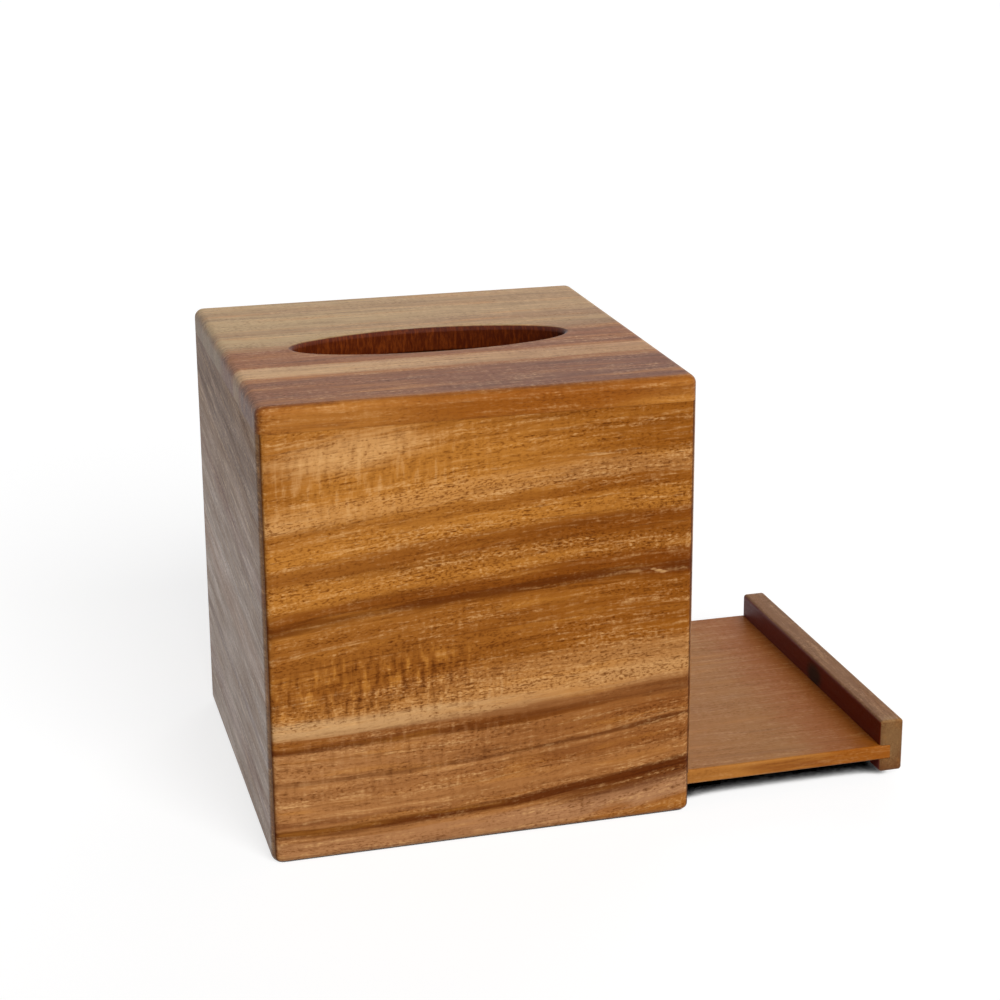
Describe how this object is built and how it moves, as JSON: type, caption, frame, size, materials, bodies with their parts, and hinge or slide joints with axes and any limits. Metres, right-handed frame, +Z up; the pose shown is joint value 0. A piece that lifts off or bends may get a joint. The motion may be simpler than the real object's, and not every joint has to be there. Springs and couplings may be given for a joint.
{
  "type": "tissue box",
  "caption": "Cube wooden box for a carton of tissues, with mitred walls, an elliptical slot in the flat top and a base board on a pull strip that slides out sideways.",
  "frame": {"origin": "middle of the whole footprint with the base drawn out 70 mm, on the plane that the box stands on; the case's own middle is 39.4 mm towards -X", "axes": "+Z up through the slot, +X the way the base slides out, +Y towards the back wall; the slot's long axis is along X"},
  "size_m": [0.2188, 0.14, 0.15],
  "materials": {
    "wall_wood": "oiled acacia, golden orange with dark heartwood bands, satin",
    "top_wood": "oiled acacia, grey brown with a tan stripe, satin",
    "base_wood": "smooth warm brown, satin",
    "strip_wood": "smooth light brown, satin"
  },
  "bodies": {
    "case": {"front_wall": "wall_wood", "back_wall": "wall_wood", "left_wall": "wall_wood", "right_wall": "wall_wood", "top_panel": "top_wood"},
    "base": {"base_board": "base_wood", "pull_strip": "strip_wood"}
  },
  "joints": [
    {"name": "base_slide", "type": "slide", "parent": "case", "child": "base", "axis": [1, 0, 0], "range_m": [-0.07, 0.055]}
  ]
}
